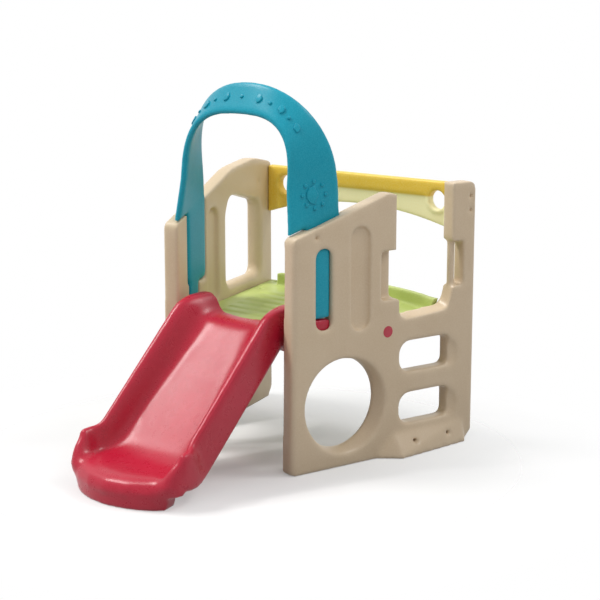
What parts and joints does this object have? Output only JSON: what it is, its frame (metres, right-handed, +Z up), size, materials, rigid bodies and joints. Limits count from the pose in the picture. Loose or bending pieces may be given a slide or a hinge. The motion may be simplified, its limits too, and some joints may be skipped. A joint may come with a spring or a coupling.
{
  "type": "toddler climbing gym",
  "caption": "Plastic toddler climbing gym: splayed walls with crawl holes and steps, a deck, a slide under an entry arch, and a rear panel.",
  "frame": {"origin": "on the floor, under the middle of the bounding box", "axes": "+Z up, the slide runs out towards -Y, the wall with the side entry is at +X"},
  "size_m": [1.0232, 1.375, 1.2939],
  "materials": {
    "tan_right": "satin rotomoulded skin, tan",
    "tan_left": "satin rotomoulded skin, tan",
    "green": "satin rotomoulded skin, lime green",
    "red": "smooth rotomoulded skin, red",
    "teal": "satin rotomoulded skin, teal",
    "yellow": "satin moulded plastic, pale yellow",
    "sticker": "thin glossy film, plain",
    "screw_steel": "zinc-plated steel"
  },
  "bodies": {
    "root": {"right_wall": "tan_right", "left_wall": "tan_left", "deck": "green", "slide": "red", "arch": "teal", "back_panel": "yellow", "arch_screw_right": "screw_steel", "arch_screw_left": "screw_steel", "panel_screws_right": "screw_steel", "panel_screws_left": "screw_steel", "deck_screws_right": "screw_steel", "deck_screws_left": "screw_steel", "side_sticker": "sticker"}
  },
  "joints": []
}
